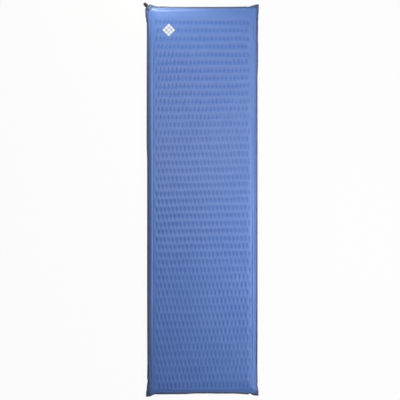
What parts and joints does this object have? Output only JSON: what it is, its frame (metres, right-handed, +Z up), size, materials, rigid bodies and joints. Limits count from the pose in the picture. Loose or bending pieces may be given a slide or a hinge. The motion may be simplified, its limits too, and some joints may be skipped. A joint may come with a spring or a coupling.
{
  "type": "self-inflating sleeping mat",
  "caption": "Full-length self-inflating camping mat: coated fabric covers welded round a cored foam slab, with a twist valve at one head corner.",
  "frame": {"origin": "the middle of the underside, on the ground: half the width and half the length over the straight edges of the weld", "axes": "+Z up through the thickness, +Y along the mat towards the head end, +X across; the valve is at the -X, +Y corner"},
  "size_m": [0.5462, 1.8573, 0.038],
  "materials": {
    "top_fabric": "blue coated polyester weave, satin",
    "bottom_fabric": "dark slate coated polyester weave, grippy dull coating",
    "foam": "open-cell polyurethane foam",
    "fitment_plastic": "weldable soft plastic",
    "stem_plastic": "moulded black plastic",
    "ring_plastic": "moulded black plastic",
    "seal_rubber": "smooth black rubber",
    "cap_plastic": "moulded dark olive plastic, fine satin",
    "grip_rubber": "soft black rubber, ribbed"
  },
  "bodies": {
    "root": {"top_cover": "top_fabric", "bottom_cover": "bottom_fabric", "foam_core": "foam", "valve_fitment": "fitment_plastic", "valve_stem": "stem_plastic", "stem_o_ring": "seal_rubber", "retaining_ring": "ring_plastic", "plug_o_ring": "seal_rubber"},
    "cap_seal": {"cap_o_ring": "seal_rubber"},
    "valve_cap": {"valve_cap": "cap_plastic", "cap_grip": "grip_rubber"}
  },
  "joints": [
    {"name": "cap_lift", "type": "slide", "parent": "root", "child": "cap_seal", "axis": [-0.7071, 0.7071, 0], "range_m": [0, 0.003]},
    {"name": "cap_turn", "type": "hinge", "parent": "cap_seal", "child": "valve_cap", "pos_m": [-0.26715, 0.92315, 0.019], "axis": [-0.7071, 0.7071, 0], "range_deg": [0, 270]}
  ],
  "couplings": [
    {"joint": "cap_turn", "follows": "cap_lift", "rad_per_m": 1570.8}
  ]
}
